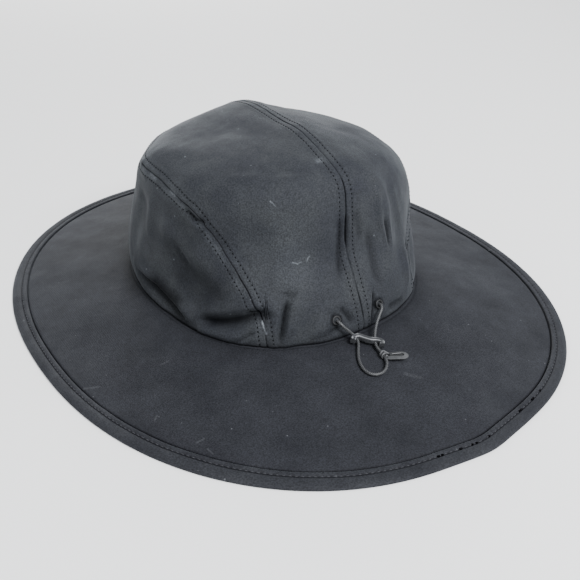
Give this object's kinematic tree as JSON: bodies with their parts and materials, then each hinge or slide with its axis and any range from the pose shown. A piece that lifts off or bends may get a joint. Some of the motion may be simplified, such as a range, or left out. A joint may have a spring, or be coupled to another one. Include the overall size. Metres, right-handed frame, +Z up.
{
  "type": "wide-brim hat",
  "caption": "Soft rain hat with a wide brim, a pieced crown with a slanting side seam, a stitched edge band and a drawcord with its lock at the back.",
  "frame": {"origin": "middle of the brim's outline, on the surface that the hat rests on", "axes": "+Z up through the crown, +Y toward the back of the hat where the drawcord is, +X toward the wearer's left"},
  "size_m": [0.3343, 0.3972, 0.1204],
  "materials": {
    "crown_cloth": "matte coated rain cloth, dark charcoal blue",
    "brim_cloth": "matte coated rain cloth, dark charcoal",
    "band_cloth": "folded and stitched matte cloth",
    "elastic_cord": "braided elastic cord, dark grey",
    "lock_plastic": "moulded dark plastic, satin",
    "trim_rubber": "moulded dark rubber, matte"
  },
  "bodies": {
    "root": {"crown_side_band": "crown_cloth", "crown_top_left": "crown_cloth", "crown_top_right": "crown_cloth", "brim": "brim_cloth", "brim_edge_band": "band_cloth", "eyelet_left": "trim_rubber", "eyelet_right": "trim_rubber", "drawcord": "elastic_cord", "cord_lock": "lock_plastic", "tab_hitch": "elastic_cord", "pull_tab": "trim_rubber"}
  },
  "joints": []
}
